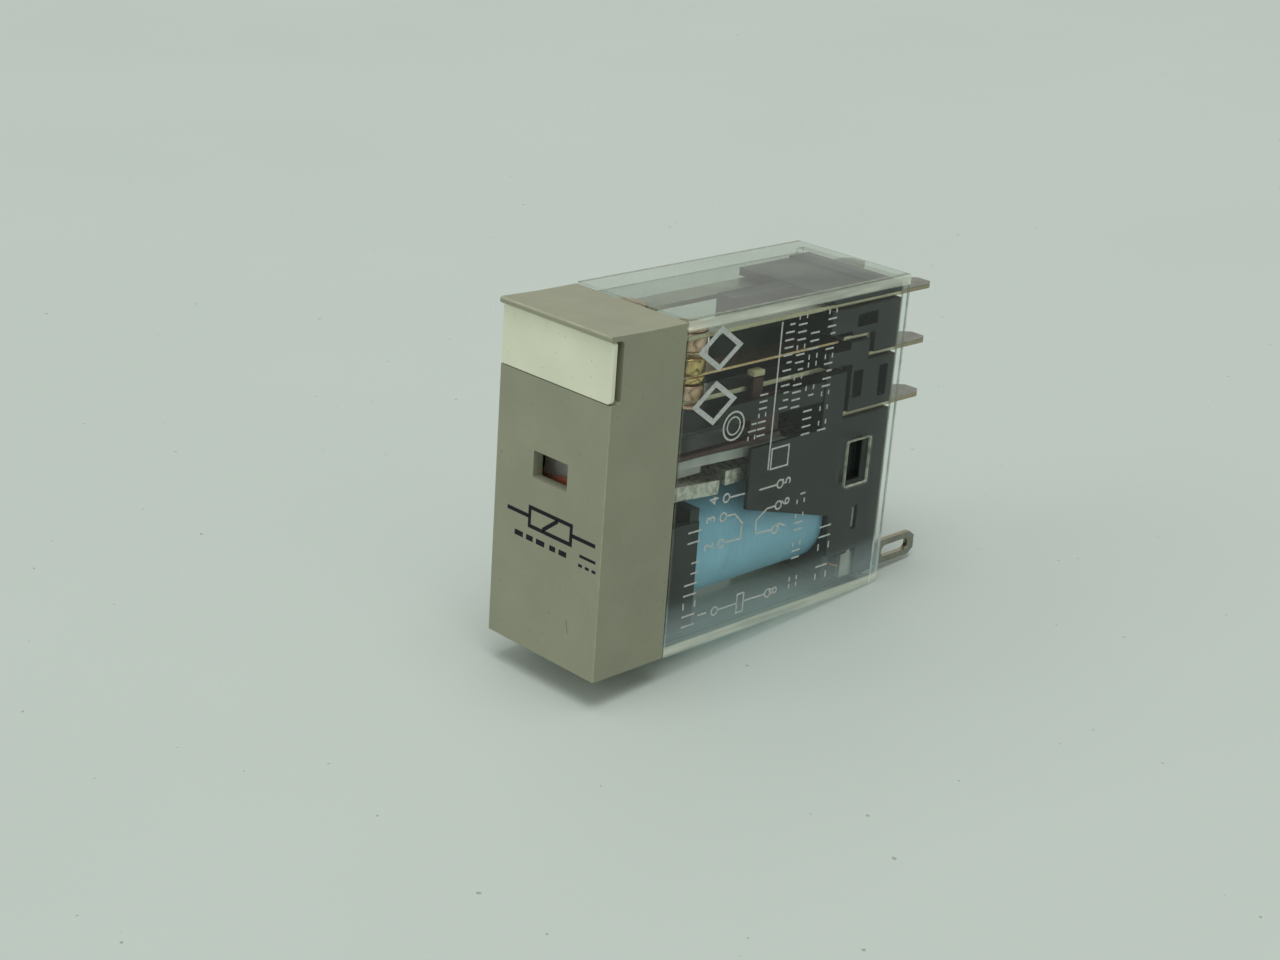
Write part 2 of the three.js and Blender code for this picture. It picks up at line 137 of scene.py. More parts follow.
def rounded(points, radius, steps=5):
    """A closed outline with each corner replaced by an arc. radius is one value or one for each corner."""
    radii = radius if isinstance(radius, (list, tuple)) else [radius] * len(points)
    out = []
    count = len(points)
    for i, corner in enumerate(points):
        here = Vector(corner)
        r = radii[i]
        if r <= 0:
            out.append(here)
            continue
        back = (Vector(points[i - 1]) - here).normalized()
        ahead = (Vector(points[(i + 1) % count]) - here).normalized()
        half = back.angle(ahead) / 2
        reach = r / math.tan(half)
        centre = here + (back + ahead).normalized() * (r / math.sin(half))
        start = here + back * reach - centre
        turn = -math.copysign(math.pi - 2 * half, back.x * ahead.y - back.y * ahead.x)
        for k in range(steps + 1):
            a = turn * k / steps
            spin = Matrix.Rotation(a, 2)
            out.append(centre + spin @ start)
    return out


def prism(name, outline, axis, start, end):
    """An outline extruded along an axis, in relay millimetres.

    The outline's two coordinates are (y, z) for axis X, (x, z) for Y and (x, y) for Z.
    """
    to_space = {
        "X": lambda p, d: place(d, p[0], p[1]),
        "Y": lambda p, d: place(p[0], d, p[1]),
        "Z": lambda p, d: place(p[0], p[1], d),
    }[axis]
    count = len(outline)
    verts = [to_space(p, start) for p in outline] + [to_space(p, end) for p in outline]
    faces = [tuple(range(count)), tuple(range(2 * count - 1, count - 1, -1))]
    for i in range(count):
        j = (i + 1) % count
        faces.append((i, j, count + j, count + i))
    return new_object(name, verts, faces)


def block(name, x0, x1, y0, y1, z0, z1):
    return prism(name, [(y0, z0), (y1, z0), (y1, z1), (y0, z1)], "X", x0, x1)


def bake(obj):
    """Turns an object's modifiers into its mesh."""
    graph = bpy.context.evaluated_depsgraph_get()
    mesh = bpy.data.meshes.new_from_object(obj.evaluated_get(graph))
    obj.modifiers.clear()
    obj.data = mesh


def carve(obj, tools, operation="DIFFERENCE"):
    for tool in tools:
        cut = obj.modifiers.new("carve", "BOOLEAN")
        cut.operation = operation
        cut.solver = "EXACT"
        cut.object = tool
        bake(obj)
        bpy.data.objects.remove(tool)


def soften(obj, width, segments=3, angle=32):
    """Small rounded edges, with smooth shading across them."""
    for poly in obj.data.polygons:
        poly.use_smooth = True
    bevel = obj.modifiers.new("edges", "BEVEL")
    bevel.width = width * MM
    bevel.segments = segments
    bevel.limit_method = "ANGLE"
    bevel.angle_limit = math.radians(angle)
    bevel.use_clamp_overlap = True
    bevel.harden_normals = True
    even = obj.modifiers.new("normals", "WEIGHTED_NORMAL")
    even.weight = 90
    even.keep_sharp = True
    return obj


def dress(obj, slot, body="root", replaces=(), look=None):
    """Gives a finished piece its material, its body and the CAD nodes that it stands for."""
    obj.data.materials.clear()
    obj.data.materials.append(look or MATERIALS[slot])
    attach(obj, body)
    if replaces:
        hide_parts(*replaces)


# ---- material helpers ---------------------------------------------------------------------


def new_material(name, colour, roughness, metallic=0.0):
    mat = bpy.data.materials.new(name)
    mat.use_nodes = True
    bsdf = mat.node_tree.nodes["Principled BSDF"]
    bsdf.inputs["Base Color"].default_value = (*colour, 1)
    bsdf.inputs["Roughness"].default_value = roughness
    bsdf.inputs["Metallic"].default_value = metallic
    return mat, mat.node_tree, bsdf


def node(tree, kind, **inputs):
    made = tree.nodes.new(kind)
    for key, value in inputs.items():
        made.inputs[key].default_value = value
    return made


def noise(tree, size_mm, detail=3.0, stretch=None):
    """Noise in object space. stretch multiplies its frequency along X, Y and Z."""
    coords = tree.nodes.new("ShaderNodeTexCoord")
    source = coords.outputs["Object"]
    if stretch:
        mapping = tree.nodes.new("ShaderNodeMapping")
        mapping.inputs["Scale"].default_value = stretch
        tree.links.new(source, mapping.inputs["Vector"])
        source = mapping.outputs["Vector"]
    texture = node(tree, "ShaderNodeTexNoise", Scale=1 / (size_mm * MM), Detail=detail)
    tree.links.new(source, texture.inputs["Vector"])
    return texture.outputs["Fac"]


def split_position(tree):
    """The X, Y and Z sockets of the position in object space, in metres."""
    coords = tree.nodes.new("ShaderNodeTexCoord")
    split = tree.nodes.new("ShaderNodeSeparateXYZ")
    tree.links.new(coords.outputs["Object"], split.inputs["Vector"])
    return split.outputs


def remap(tree, value, from_low, from_high, to_low, to_high):
    scale = tree.nodes.new("ShaderNodeMapRange")
    scale.inputs["From Min"].default_value = from_low
    scale.inputs["From Max"].default_value = from_high
    scale.inputs["To Min"].default_value = to_low
    scale.inputs["To Max"].default_value = to_high
    tree.links.new(value, scale.inputs["Value"])
    return scale.outputs["Result"]


def mix_colour(tree, factor, first, second):
    """Mixes two colours. Each is a constant or a socket."""
    mix = tree.nodes.new("ShaderNodeMix")
    mix.data_type = "RGBA"
    colour_sockets = [s for s in mix.inputs if s.type == "RGBA"]
    for socket, value in zip(colour_sockets, (first, second)):
        if isinstance(value, bpy.types.NodeSocket):
            tree.links.new(value, socket)
        else:
            socket.default_value = (*value, 1)
    tree.links.new(factor, mix.inputs["Factor"])
    return [s for s in mix.outputs if s.type == "RGBA"][0]


def shade_colour(tree, colour, factor):
    """A colour, constant or socket, made lighter or darker by a factor socket."""
    shade = tree.nodes.new("ShaderNodeVectorMath")
    shade.operation = "SCALE"
    if isinstance(colour, bpy.types.NodeSocket):
        tree.links.new(colour, shade.inputs[0])
    else:
        shade.inputs[0].default_value = colour
    tree.links.new(factor, shade.inputs["Scale"])
    return shade.outputs["Vector"]


def add_bump(tree, bsdf, height, depth_mm, strength):
    bump = tree.nodes.new("ShaderNodeBump")
    bump.inputs["Strength"].default_value = strength
    bump.inputs["Distance"].default_value = depth_mm * MM
    tree.links.new(height, bump.inputs["Height"])
    tree.links.new(bump.outputs["Normal"], bsdf.inputs["Normal"])


def edge_mask(tree, radius_mm, gain):
    """About 1 on rounded edges and 0 on open faces, from how far a rounded normal turns away."""
    soft = tree.nodes.new("ShaderNodeBevel")
    soft.samples = 4
    soft.inputs["Radius"].default_value = radius_mm * MM
    sharp = tree.nodes.new("ShaderNodeNewGeometry")
    dot = tree.nodes.new("ShaderNodeVectorMath")
    dot.operation = "DOT_PRODUCT"
    tree.links.new(soft.outputs["Normal"], dot.inputs[0])
    tree.links.new(sharp.outputs["Normal"], dot.inputs[1])
    return remap(tree, dot.outputs["Value"], 1.0, 1.0 - gain, 0.0, 1.0)


def rounded_edges(tree):
    """1 on rounded edges and 0 on faces square to an axis, from the largest part of the normal."""
    coords = tree.nodes.new("ShaderNodeTexCoord")
    size = tree.nodes.new("ShaderNodeVectorMath")
    size.operation = "ABSOLUTE"
    tree.links.new(coords.outputs["Normal"], size.inputs[0])
    split = tree.nodes.new("ShaderNodeSeparateXYZ")
    tree.links.new(size.outputs["Vector"], split.inputs["Vector"])
    return remap(tree, largest(tree, *split.outputs), 0.985, 0.88, 0.0, 1.0)


def multiply(tree, a, b):
    math_node = tree.nodes.new("ShaderNodeMath")
    math_node.operation = "MULTIPLY"
    for socket, value in zip(math_node.inputs, (a, b)):
        if isinstance(value, bpy.types.NodeSocket):
            tree.links.new(value, socket)
        else:
            socket.default_value = value
    return math_node.outputs["Value"]


def scaled(colour, factor):
    return tuple(min(1.0, c * factor) for c in colour)


# ---- materials ----------------------------------------------------------------------------


def moulded_plastic(name, colour, roughness, grain_mm=0.12, grain_depth=0.004, wear_highlight=0.0, wear_highlight_scale=1.35):
    """Moulded plastic: fine spark grain, slow colour drift, uneven gloss, and lighter rounded edges that are
    partly rubbed wear and partly a painted highlight.
    """
    mat, tree, bsdf = new_material(name, colour, roughness)
    drift = remap(tree, noise(tree, 5.0, 4.0), 0.3, 0.7, 0.0, 1.0)
    paint = mix_colour(tree, drift, scaled(colour, 0.95), scaled(colour, 1.05))
    specks = remap(tree, noise(tree, 0.35, 2.0), 0.70, 0.74, 0.0, 0.5)
    paint = mix_colour(tree, specks, paint, scaled(colour, 0.6))
    # rounded edges painted lighter: partly rubbed wear, partly a painted highlight
    if wear_highlight:
        patchy = remap(tree, noise(tree, 1.2, 4.0), 0.3, 0.7, 0.3, 1.0)
        painted_edge_tone = multiply(tree, rounded_edges(tree), patchy)
        paint = mix_colour(tree, multiply(tree, painted_edge_tone, wear_highlight), paint, scaled(colour, wear_highlight_scale))
    tree.links.new(paint, bsdf.inputs["Base Color"])
    gloss = remap(tree, noise(tree, 2.2, 5.0), 0.3, 0.7, roughness * 0.88, min(1.0, roughness * 1.12))
    tree.links.new(gloss, bsdf.inputs["Roughness"])
    add_bump(tree, bsdf, noise(tree, grain_mm, 2.0), grain_depth, 0.6)
    return mat


def rolled_metal(name, colour, roughness, tarnish, stretch=(1, 0.06, 1), cloud_size=1.6):
    """Rolled strip: fine lines along the rolling direction and patches of tarnish."""
    mat, tree, bsdf = new_material(name, colour, roughness, 1.0)
    lines = noise(tree, 0.10, 3.0, stretch)
    cloud = remap(tree, noise(tree, cloud_size, 5.0), 0.42, 0.66, 0.0, 0.9)
    tree.links.new(mix_colour(tree, cloud, colour, tarnish), bsdf.inputs["Base Color"])
    tree.links.new(remap(tree, lines, 0.3, 0.7, roughness * 0.8, roughness * 1.3), bsdf.inputs["Roughness"])
    add_bump(tree, bsdf, lines, 0.003, 0.5)
    return mat


def sheared_strip(name, face, edge, sheared_axes):
    """Plated strip whose sheared sides show bare brass. sheared_axes says which normals are sides."""
    mat, tree, bsdf = new_material(name, face, 0.34, 1.0)
    coords = tree.nodes.new("ShaderNodeTexCoord")
    split = tree.nodes.new("ShaderNodeSeparateXYZ")
    tree.links.new(coords.outputs["Normal"], split.inputs["Vector"])
    flat_axis = ({"X", "Y", "Z"} - set(sheared_axes)).pop()
    size = tree.nodes.new("ShaderNodeMath")
    size.operation = "ABSOLUTE"
    tree.links.new(split.outputs[flat_axis], size.inputs[0])
    side = remap(tree, size.outputs["Value"], 0.75, 0.35, 0.0, 1.0)
    streaks = remap(tree, noise(tree, 0.25, 3.0), 0.35, 0.65, 0.55, 1.0)
    cloud = remap(tree, noise(tree, 1.1, 5.0), 0.40, 0.75, 0.0, 0.7)
    plated = mix_colour(tree, cloud, face, scaled(face, 0.62))
    paint = mix_colour(tree, multiply(tree, side, streaks), plated, edge)
    # duller where the blade stands out of the base
    back = high("base").y
    outside = remap(tree, split_position(tree)["Y"], back * MM, (back + 0.4) * MM, 1.0, 0.62)
    tree.links.new(shade_colour(tree, paint, outside), bsdf.inputs["Base Color"])
    lines = noise(tree, 0.09, 3.0, (1, 0.08, 1))
    tree.links.new(remap(tree, lines, 0.3, 0.7, 0.26, 0.44), bsdf.inputs["Roughness"])
    add_bump(tree, bsdf, lines, 0.003, 0.5)
    return mat


def tape_material():
    """Polyester tape over the winding: the turns show faintly through it."""
    colour = (0.32, 0.64, 0.82)
    mat, tree, bsdf = new_material("coil_tape", colour, 0.38)
    cloud = remap(tree, noise(tree, 3.0, 3.0), 0.3, 0.7, 0.0, 1.0)
    turns = noise(tree, 0.22, 2.0, (0.05, 1.0, 0.05))
    paint = mix_colour(tree, cloud, scaled(colour, 0.90), scaled(colour, 1.10))
    paint = mix_colour(tree, remap(tree, turns, 0.35, 0.65, 0.0, 0.25), paint, scaled(colour, 0.72))
    tree.links.new(paint, bsdf.inputs["Base Color"])
    bsdf.inputs["Coat Weight"].default_value = 0.3
    bsdf.inputs["Coat Roughness"].default_value = 0.2
    add_bump(tree, bsdf, turns, 0.012, 0.6)
    return mat


def in_range(tree, value, start, end, soft):
    """1 where a position lies between start and end, with soft shoulders. All in millimetres."""
    rise = remap(tree, value, (start - soft) * MM, (start + soft) * MM, 0.0, 1.0)
    fall = remap(tree, value, (end - soft) * MM, (end + soft) * MM, 1.0, 0.0)
    return multiply(tree, rise, fall)


def largest(tree, *values):
    out = values[0]
    for value in values[1:]:
        pick = tree.nodes.new("ShaderNodeMath")
        pick.operation = "MAXIMUM"
        tree.links.new(out, pick.inputs[0])
        tree.links.new(value, pick.inputs[1])
        out = pick.outputs["Value"]
    return out


def clear_film(tree, outward):
    """A see-through film under gloss. outward is 1 on faces seen from outside."""
    # seen at a low angle the walls are longer to look through, so they darken
    slant = tree.nodes.new("ShaderNodeLayerWeight")
    smoky = remap(tree, slant.outputs["Facing"], 0.45, 0.85, 0.0, 1.0)
    film = node(tree, "ShaderNodeBsdfTransparent")
    tint = mix_colour(tree, smoky, (0.965, 0.985, 0.982), (0.60, 0.64, 0.57))
    tree.links.new(tint, film.inputs["Color"])
    gloss = node(tree, "ShaderNodeBsdfGlossy", Color=(1, 1, 1, 1), Roughness=0.06)
    fresnel = node(tree, "ShaderNodeFresnel", IOR=1.48)
    share = multiply(tree, fresnel.outputs["Fac"], multiply(tree, outward, GLOSS_SHARE))
    return mix_shaders(tree, share, film.outputs["BSDF"], gloss.outputs["BSDF"])


def mix_shaders(tree, factor, first, second):
    mix = tree.nodes.new("ShaderNodeMixShader")
    tree.links.new(factor, mix.inputs["Fac"])
    tree.links.new(first, mix.inputs[1])
    tree.links.new(second, mix.inputs[2])
    return mix.outputs["Shader"]


def edge_bands(tree, spot, on_side):
    """Painted highlight: bright streaked bands where the top and bottom walls meet the sides."""
    top_band = in_range(tree, spot["Z"], TOP - EDGE_BAND, TOP - SOFT_FADE, SOFT_FADE)
    low_band = in_range(tree, spot["Z"], SOFT_FADE, EDGE_BAND, SOFT_FADE)
    streaks = remap(tree, noise(tree, 0.9, 4.0, (1, 0.10, 1)), 0.3, 0.7, 0.35, 0.9)
    return multiply(tree, multiply(tree, largest(tree, top_band, low_band), on_side), streaks)


def edge_lines(tree, spot, aside, on_side, on_top, outward):
    """Painted shade: dark lines at the rebate, the rear rim, the top's long edges and the rounded corners,
    where the clear walls look dark.
    """
    rebate = FRONT_Y + REBATE_Y
    rear = high("cover").y
    line = in_range(tree, spot["Y"], rebate - 0.14, rebate + 0.14, SHARP_FADE)
    rim = in_range(tree, spot["Y"], rear - 0.35, rear - 0.12, SHARP_FADE)
    side_lines = multiply(tree, largest(tree, line, rim), on_side)
    top_line = remap(tree, aside, (HALF - 0.42) * MM, (HALF - 0.34) * MM, 0.0, 1.0)
    # painted shade on the rounded corners of the clear walls
    painted_edge_tone = multiply(tree, edge_mask(tree, 0.3, 0.08), outward)
    lines = largest(tree, side_lines, multiply(tree, top_line, on_top), painted_edge_tone)
    uneven = remap(tree, noise(tree, 1.4, 3.0), 0.3, 0.7, 0.55, 0.95)
    return multiply(tree, lines, uneven)


def clear_plastic():
    """Clear polycarbonate: film and gloss, with painted highlight bands at the edges, painted shade lines, a
    painted reflection low on the sides, a painted sheen on the top, and dust.
    """
    mat, tree, overlay_bsdf = new_material("clear_plastic", CLEAR_EDGE_HIGHLIGHT, 0.25)
    faces = tree.nodes.new("ShaderNodeNewGeometry")
    outward = remap(tree, faces.outputs["Backfacing"], 0.0, 1.0, 1.0, 0.0)
    surface = clear_film(tree, outward)
    spot = split_position(tree)
    size = tree.nodes.new("ShaderNodeMath")
    size.operation = "ABSOLUTE"
    tree.links.new(spot["X"], size.inputs[0])
    aside = size.outputs["Value"]
    outermost = remap(tree, aside, (HALF - 0.2) * MM, (HALF - 0.1) * MM, 0.0, 1.0)
    topmost = remap(tree, spot["Z"], (TOP - 0.1) * MM, (TOP - 0.02) * MM, 0.0, 1.0)
    on_side = multiply(tree, outermost, outward)
    on_top = multiply(tree, topmost, outward)
    highlight_bands = edge_bands(tree, spot, on_side)
    painted_shade_lines = edge_lines(tree, spot, aside, on_side, on_top, outward)
    dust = remap(tree, noise(tree, 0.25, 3.0), 0.71, 0.78, 0.0, 0.12)
    dust = multiply(tree, dust, outward)
    haze = remap(tree, noise(tree, 7.0, 4.0), 0.3, 0.7, 0.002, 0.012)
    # painted blue-grey reflection low on the sides, below the coil
    low_reflection = in_range(tree, spot["Z"], 0.6, 3.6, 1.6)
    low_reflection = multiply(tree, multiply(tree, low_reflection, on_side), 0.36)
    # painted pale sheen on the top
    top_sheen = remap(tree, noise(tree, 5.0, 4.0, (1, 0.4, 1)), 0.35, 0.65, 0.02, 0.11)
    top_sheen = multiply(tree, top_sheen, on_top)
    painted_light_and_dust = largest(tree, highlight_bands, painted_shade_lines, dust, haze, low_reflection, top_sheen)
    # dark olive on the painted shade lines, blue-grey on the painted reflection low on the sides, and pale
    # on the painted highlight bands and the painted sheen on the top
    low_reflection_tint = remap(tree, low_reflection, 0.02, 0.12, 0.0, 1.0)
    paint = mix_colour(tree, low_reflection_tint, (0.22, 0.24, 0.18), (0.55, 0.68, 0.70))
    highlight_banded = remap(tree, highlight_bands, 0.1, 0.3, 0.0, 1.0)
    pale = largest(tree, highlight_banded, remap(tree, top_sheen, 0.01, 0.02, 0.0, 1.0))
    off_line = remap(tree, multiply(tree, painted_shade_lines, on_top), 0.1, 0.4, 1.0, 0.0)
    paint = mix_colour(tree, multiply(tree, pale, off_line), paint, CLEAR_EDGE_HIGHLIGHT)
    tree.links.new(paint, overlay_bsdf.inputs["Base Color"])
    whole = mix_shaders(tree, painted_light_and_dust, surface, overlay_bsdf.outputs["BSDF"])
    tree.links.new(whole, tree.nodes["Material Output"].inputs["Surface"])
    return mat


def lit_edge():
    """The cut edge of the clear plastic, which gathers light."""
    mat, tree, bsdf = new_material("lit_edge", (0.70, 0.74, 0.62), 0.2)
    streaks = remap(tree, noise(tree, 0.7, 3.0), 0.35, 0.65, 0.0, 1.0)
    paint = mix_colour(tree, streaks, (0.30, 0.32, 0.27), (0.66, 0.69, 0.58))
    tree.links.new(paint, bsdf.inputs["Base Color"])
    add_bump(tree, bsdf, noise(tree, 0.2, 2.0), 0.004, 0.5)
    return mat


def faced_plastic(name, colour, face_colour, face_end, roughness):
    """Plastic of one colour whose front, up to the plane y = face_end millimetres, has another."""
    mat, tree, bsdf = new_material(name, colour, roughness)
    face_end_m = face_end * MM
    front = remap(tree, split_position(tree)["Y"], face_end_m, face_end_m + SHARP_FADE * MM, 1.0, 0.0)
    paint = mix_colour(tree, front, colour, face_colour)
    cloud = remap(tree, noise(tree, 1.5, 4.0), 0.3, 0.7, 0.86, 1.1)
    tree.links.new(shade_colour(tree, paint, cloud), bsdf.inputs["Base Color"])
    gloss = remap(tree, noise(tree, 1.0, 4.0), 0.3, 0.7, roughness * 0.85, roughness * 1.15)
    tree.links.new(gloss, bsdf.inputs["Roughness"])
    add_bump(tree, bsdf, noise(tree, 0.12, 2.0), 0.003, 0.6)
    return mat


def card_plastic():
    """Dark red, bright only on the indicator flag's front."""
    flag_back = low("card").y + 0.41
    return faced_plastic("red_plastic", (0.055, 0.012, 0.009), (0.75, 0.20, 0.11), flag_back, 0.42)


def lever_plastic():
    """Grey, with a pale face behind the flag."""
    face_back = low("lever").y + 0.3
    return faced_plastic("grey_plastic", (0.56, 0.56, 0.51), (0.94, 0.94, 0.90), face_back, 0.34)


def ink(name, colour, roughness=0.65):
    """Pad-printed ink with thin spots."""
    mat, tree, bsdf = new_material(name, colour, roughness)
    bsdf.inputs["Specular IOR Level"].default_value = 0.2
    thin = remap(tree, noise(tree, 0.18, 3.0), 0.35, 0.65, 0.75, 1.05)
    tree.links.new(shade_colour(tree, colour, thin), bsdf.inputs["Base Color"])
    return mat


def make_materials():
    pin_face = (0.46, 0.45, 0.385)
    brass = (0.66, 0.58, 0.37)
    zinc = (0.80, 0.77, 0.68)
    dull_zinc = (0.36, 0.34, 0.27)
    bronze = (0.34, 0.22, 0.13)
    bare_bronze = (0.86, 0.62, 0.34)
    silver = (0.80, 0.55, 0.40)
    dull_silver = (0.5, 0.30, 0.16)
    return {
        "cap_plastic": moulded_plastic("cap_plastic", (0.305, 0.312, 0.222), 0.62, 0.28, 0.009, 0.8, 1.5),
        "plate_plastic": moulded_plastic("plate_plastic", (0.80, 0.82, 0.64), 0.42, 0.3, 0.002, wear_highlight=0.3),
        "clear_plastic": clear_plastic(),
        "black_plastic": moulded_plastic("black_plastic", (0.013, 0.016, 0.015), 0.42, wear_highlight=0.25, wear_highlight_scale=3.0),
        "red_plastic": card_plastic(),
        "grey_plastic": lever_plastic(),
        "cream_plastic": moulded_plastic("cream_plastic", (0.62, 0.56, 0.34), 0.45),
        "coil_tape": tape_material(),
        "plated_steel": rolled_metal("plated_steel", zinc, 0.42, dull_zinc, (0.2, 1, 1), 0.45),
        "pin_plating": sheared_strip("pin_plating", pin_face, brass, ("X", "Y")),
        "spring_copper": sheared_strip("spring_copper", bronze, bare_bronze, ("X", "Y")),
        "contact_metal": rolled_metal("contact_metal", silver, 0.3, dull_silver, (1, 1, 0.1)),
        "copper_wire": rolled_metal("copper_wire", (0.62, 0.26, 0.10), 0.35, (0.4, 0.15, 0.06)),
    }


MATERIALS = make_materials()
UPRIGHT_BLADE = sheared_strip("pin_plating_upright", (0.50, 0.49, 0.42), (0.60, 0.52, 0.33), ("Y", "Z"))
GOLD_CONTACT = rolled_metal("gold_contact", (0.78, 0.58, 0.25), 0.24, (0.46, 0.30, 0.12), (1, 1, 0.1))
LIT_EDGE = lit_edge()
DARK_INK = ink("dark_ink", (0.010, 0.012, 0.018))
WHITE_INK = ink("white_ink", (0.60, 0.63, 0.60))


# ---- carried-over CAD nodes ---------------------------------------------------------------


def dress_nodes():
    """Gives every CAD node its material, merged faces and small rounded edges."""
    slots = {row["node"]: row["material_slot"] for row in frame["record"]["subparts"]}
    for name, obj in NODES.items():
        obj.data.materials.clear()
        look = MATERIALS[slots[name]]
        if name.startswith("coil_terminal"):
            look = UPRIGHT_BLADE
        if name.startswith("moving_contact"):
            look = GOLD_CONTACT
        obj.data.materials.append(look)
        for poly in obj.data.polygons:
            poly.material_index = 0
        weld = obj.modifiers.new("weld", "WELD")
        weld.merge_threshold = 0.001 * MM
        flat = obj.modifiers.new("flat", "DECIMATE")
        flat.decimate_type = "DISSOLVE"
        flat.angle_limit = math.radians(1)
        soften(obj, 0.03 if "spring" in name else 0.07, 2)


# ---- case ---------------------------------------------------------------------------------


def cap_piece():
    """The cap: flared finger lip, plate bed, window and hollow back."""
    depth = relay_high("cap").y
    bed_low = relay_low("marking_plate").z - 0.06
    bed_high = relay_high("marking_plate").z + 0.06
    flare = rounded(
        [(0, 0), (depth, 0), (depth, TOP - 0.12), (3.6, TOP - 0.12), (-LIP_OUT, TOP),
         (-LIP_OUT, bed_high + 0.1), (0, bed_high - 0.6)],
        [0, 0, 0, 3.0, 0.22, 0.12, 0.4],
    )
    cap = prism("cap_shell", flare, "X", -HALF, HALF)
    bake(soften(cap, CAP_EDGE, 4, 50))
    inner = HALF - 0.9
    ledge = bed_low - 0.8
    bed = rounded(
        [(-2, bed_low), (BED_DEPTH, bed_low), (BED_DEPTH, bed_high), (-2, bed_high)],
        [0, 0.3, 0.3, 0], 3,
    )
    window = rounded([(-1.9, 14.9), (2.1, 14.9), (2.1, 17.2), (-1.9, 17.2)], 0.1, 3)
    carve(cap, [
        prism("bed", bed, "X", -HALF - 1, HALF + 1),
        block("hollow", -inner, inner, 1.0, depth + 1, 0.9, ledge),
        block("hollow_top", -inner, inner, 1.9, depth + 1, ledge - 0.1, TOP - 1.0),
        prism("window", window, "Y", -1, 2),
        prism("nick", [(2.9, 4.2), (3.0, 4.25), (3.2, 3.2), (3.12, 3.15)], "Y", -1, 0.05),
    ])
    dress(soften(cap, 0.06, 2), "cap_plastic", replaces=["cap"])


def plate_piece():
    """The marking plate, held off its bed by two ribs."""
    bottom = relay_low("marking_plate").z
    top = relay_high("marking_plate").z
    half = relay_high("marking_plate").x
    outline = rounded([(-half, bottom), (half, bottom), (half, top), (-half, top)], [0.3, 0.45, 0.3, 0.3], 4)
    plate = prism("plate", outline, "Y", 0.0, 0.42)
    carve(plate, [block("rib", -4.4, -3.2, 0.3, BED_DEPTH, bottom + 1.2, top - 1.2),
                  block("rib", 3.2, 4.4, 0.3, BED_DEPTH, bottom + 1.2, top - 1.2)], "UNION")
    dress(soften(plate, 0.09, 3), "plate_plastic", replaces=["marking_plate"])


def cover_piece():
    """The clear cover: thin walls, nose under the cap, rebate at the rim and snap openings."""
    nose = relay_low("cover").y
    start = relay_high("cap").y + 0.1
    rim = relay_high("cover").y
    outer = rounded([(start, 0), (rim, 0), (rim, TOP), (start, TOP)], [0.05, 1.1, 0.3, 0.05], 6)
    cover = prism("cover_shell", outer, "X", -HALF, HALF)
    carve(cover, [
        block("nose", -5.4, 5.4, nose + 1.1, start + 0.2, 1.0, TOP - 1.0),
        block("toe", -5.4, 5.4, nose, start, 1.0, 22.1),
    ], "UNION")
    inside = HALF - WALL
    carve(cover, [
        block("cavity", -inside, inside, start + 0.4, rim + 1, WALL, TOP - WALL),
        block("nose_cavity", -4.8, 4.8, nose + 1.7, start + 1, 1.6, TOP - 1.6),
        block("toe_cavity", -4.8, 4.8, nose + 0.6, start + 0.9, 1.61, 21.5),
        block("rebate", -inside - 0.3, inside + 0.3, REBATE_Y, rim + 1, 0.55, TOP - 0.5),
        prism("latches", snap_outline(0), "X", -HALF - 1, HALF + 1),
    ])
    dress(soften(cover, 0.16, 3), "clear_plastic", replaces=["cover"])


def snap_outline(inset):
    """The outline of the snap openings in the cover's sides, in (y, z)."""
    y0, y1, z0, z1 = 29.0 + inset, 32.1 - inset, 10.3 + inset, 14.6 - inset
    return rounded([(y0, z0), (y1, z0), (y1, z1), (y0, z1)], 0.2 - inset / 2, 3)


def snap_rims():
    """The light-catching rims of the two snap openings."""
    for word, x0, x1 in (("right", HALF - 0.3, HALF - 0.03), ("left", -HALF + 0.03, -HALF + 0.3)):
        rim = prism("snap_rim_" + word, snap_outline(0.01), "X", x0, x1)
        carve(rim, [prism("hole", snap_outline(0.09), "X", x0 - 1, x1 + 1)])
        dress(soften(rim, 0.02, 1), "clear_plastic", look=LIT_EDGE)


def winding_piece():
    """The taped winding: a slow spiral in radius leaves the tape's end as a small step."""
    start = relay_low("coil_winding").y
    end = relay_high("coil_winding").y
    centre_z = (relay_low("coil_winding").z + relay_high("coil_winding").z) / 2
    outer = (relay_high("coil_winding").z - relay_low("coil_winding").z) / 2
    around = 72
    step = 0.09
    profile = [(3.0, start), (outer - 0.25, start), (outer, start + 0.22)]
    rings = 26
    for k in range(1, rings):
        y = start + 0.22 + (end - start - 0.44) * k / rings
        profile.append((outer - 0.03 * (k % 2), y))
    profile += [(outer, end - 0.22), (outer - 0.25, end), (3.0, end)]
    verts = []
    for a in range(around):
        turn = a / around
        angle = math.tau * turn + 0.5
        for radius, y in profile:
            r = radius - (step * turn if radius > 3.5 else 0)
            verts.append(place(r * math.cos(angle), y, centre_z + r * math.sin(angle)))
    size = len(profile)
    faces = []
    for a in range(around):
        b = (a + 1) % around
        for k in range(size):
            j = (k + 1) % size
            faces.append((a * size + k, b * size + k, b * size + j, a * size + j))
    coil = new_object("taped_winding", verts, faces)
    for poly in coil.data.polygons:
        poly.use_smooth = True
    dress(coil, "coil_tape", replaces=["coil_winding"])


# ---- printing -----------------------------------------------------------------------------


